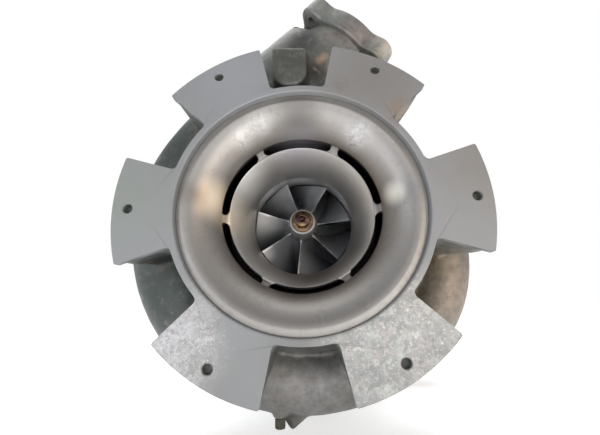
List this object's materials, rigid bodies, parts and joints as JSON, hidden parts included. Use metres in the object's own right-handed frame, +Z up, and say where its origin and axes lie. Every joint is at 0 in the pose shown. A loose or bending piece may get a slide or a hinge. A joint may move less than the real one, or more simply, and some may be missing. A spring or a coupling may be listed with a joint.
{
  "type": "marine turbocharger",
  "caption": "Exhaust turbocharger for a marine engine: ribbed inlet with bolting pads, scroll casing, bearing housing on a foot, turbine casing and a spinning rotor.",
  "frame": {"origin": "centre of the underside of the foot, below the shaft axis", "axes": "+Z up, the shaft along Y with the air inlet facing -Y and the gas outlet facing +Y, +X to the right seen from the air inlet"},
  "size_m": [0.7646, 0.824, 0.9302],
  "materials": {
    "machined_pad": "machined and etched casting",
    "turned_bellmouth": "turned, dull with stains",
    "cast_casing": "sand cast, stained",
    "milled_wheel": "milled bright",
    "bronzed_nut": "golden brown",
    "forged_steel": "turned",
    "grey_housing": "grey cast iron",
    "hot_casting": "heat browned cast iron",
    "plated_fitting": "zinc plated",
    "bearing_bronze": "turned bronze"
  },
  "bodies": {
    "housing": {"inlet_ring": "machined_pad", "inlet_pad_1": "machined_pad", "inlet_pad_2": "machined_pad", "inlet_pad_3": "machined_pad", "inlet_pad_4": "machined_pad", "inlet_pad_5": "machined_pad", "inlet_pad_6": "machined_pad", "bellmouth": "turned_bellmouth", "shroud_ring": "turned_bellmouth", "compressor_scroll": "cast_casing", "drain_plug": "plated_fitting", "discharge_flange": "cast_casing", "compressor_back_plate": "grey_housing", "compressor_clamp_ring": "forged_steel", "bearing_housing": "grey_housing", "front_journal_bearing": "bearing_bronze", "rear_journal_bearing": "bearing_bronze", "oil_inlet_flange": "plated_fitting", "oil_drain_flange": "plated_fitting", "foot": "grey_housing", "turbine_clamp_ring": "forged_steel", "heat_shield": "forged_steel", "turbine_casing": "hot_casting", "gas_inlet_flange": "hot_casting", "gas_outlet_cone": "hot_casting", "gas_outlet_flange": "hot_casting"},
    "rotor": {"impeller": "milled_wheel", "shaft_nut": "bronzed_nut", "shaft": "forged_steel", "turbine_wheel": "forged_steel"}
  },
  "joints": [
    {"name": "rotor_spin", "type": "hinge", "parent": "housing", "child": "rotor", "pos_m": [0, 0, 0.4], "axis": [0, 1, 0], "continuous": true}
  ]
}
